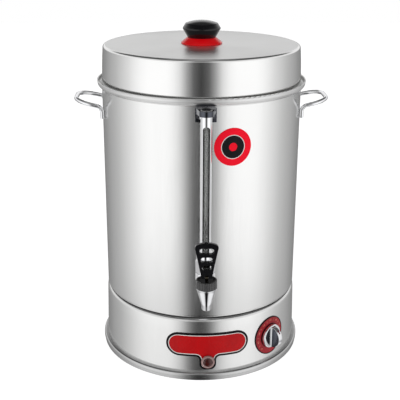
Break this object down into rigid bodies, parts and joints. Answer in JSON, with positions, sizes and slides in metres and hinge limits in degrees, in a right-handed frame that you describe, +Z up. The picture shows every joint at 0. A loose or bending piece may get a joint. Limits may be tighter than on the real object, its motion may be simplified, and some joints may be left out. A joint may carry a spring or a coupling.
{
  "type": "hot water urn",
  "caption": "Tall steel urn on a heated base, with a lift-off lid, side handles, a water gauge, a sprung lever tap, a thermostat knob and a pilot lamp.",
  "frame": {"origin": "centre of the foot ring's flat underside, where the urn stands on the table", "axes": "+Z up along the tank's axis; -Y towards the tap; +X to the right as seen facing the tap"},
  "size_m": [0.386, 0.3884, 0.514],
  "materials": {
    "steel": "polished stainless sheet with a fine vertical grain",
    "bright_steel": "bright chrome plating",
    "galvanised": "dull zinc-plated steel",
    "black_plastic": "glossy black moulding",
    "black_nylon": "satin black moulding",
    "red_plastic": "glossy red moulding",
    "plated_knob": "bright plated moulding",
    "red_plate": "red print with a white keyline and a black edge",
    "label_film": "printed film, plain rings",
    "lens_red": "deep red lens",
    "bezel_white": "pale glossy ring",
    "clear_glass": "clear tube",
    "rubber": "black rubber",
    "silicone": "grey silicone rubber",
    "brass": "turned brass",
    "copper": "drawn copper",
    "heater_sheath": "dull oxidised sheath",
    "ceramic": "ivory insulating moulding"
  },
  "bodies": {
    "root": {"foot_ring": "steel", "base_skirt": "steel", "bottom_cover": "galvanised", "cover_tabs": "galvanised", "cover_screws": "galvanised", "seam_bolts": "galvanised", "seam_nuts": "galvanised", "tank_wall": "steel", "tank_floor": "steel", "left_handle": "bright_steel", "right_handle": "bright_steel", "gauge_bracket": "bright_steel", "gauge_cap": "bright_steel", "bracket_bolts": "bright_steel", "guard_tube": "bright_steel", "gauge_glass": "clear_glass", "gauge_seals": "rubber", "gland_nut": "bright_steel", "tap_body": "bright_steel", "tap_gaskets": "rubber", "tap_backnut": "brass", "tap_bonnet": "black_nylon", "heating_element": "heater_sheath", "heater_gaskets": "silicone", "heater_nuts": "brass", "thermostat_body": "ceramic", "thermostat_screws": "galvanised", "thermostat_dial": "red_plate", "sensor_bulb": "copper", "bulb_clips": "galvanised", "safety_cutout": "ceramic", "nameplate": "red_plate", "lamp_bezel": "bezel_white", "lamp_lens": "lens_red", "lamp_body": "ceramic", "round_label": "label_film", "cord_gland": "black_nylon", "gland_locknut": "black_nylon", "terminal_block": "ceramic", "earth_stud": "brass"},
    "lid": {"lid_shell": "steel", "knob_collar": "red_plastic", "lid_knob": "black_plastic", "knob_screw": "galvanised"},
    "tap_stem": {"valve_stem": "brass", "valve_seal": "silicone", "lever_pin": "bright_steel", "valve_spring": "galvanised"},
    "tap_lever": {"tap_lever": "black_plastic"},
    "thermostat": {"thermostat_shaft": "galvanised", "thermostat_knob": "plated_knob"}
  },
  "joints": [
    {"name": "lid_lift", "type": "slide", "parent": "root", "child": "lid", "axis": [0, 0, 1], "range_m": [0, 0.15]},
    {"name": "stem_lift", "type": "slide", "parent": "root", "child": "tap_stem", "axis": [0, 0, 1], "range_m": [0, 0.0028], "deforming": ["valve_spring"]},
    {"name": "lever_pull", "type": "hinge", "parent": "tap_stem", "child": "tap_lever", "pos_m": [0, -0.204, 0.1896], "axis": [1, 0, 0], "range_deg": [0, 40], "stiffness_Nm_per_rad": 0.3, "springref_deg": -28.65},
    {"name": "thermostat_turn", "type": "hinge", "parent": "root", "child": "thermostat", "pos_m": [0.10114, -0.11077, 0.05], "axis": [-0.6743, 0.7385, 0], "range_deg": [0, 270]}
  ],
  "couplings": [
    {"joint": "lever_pull", "follows": "stem_lift", "rad_per_m": 249.33}
  ]
}
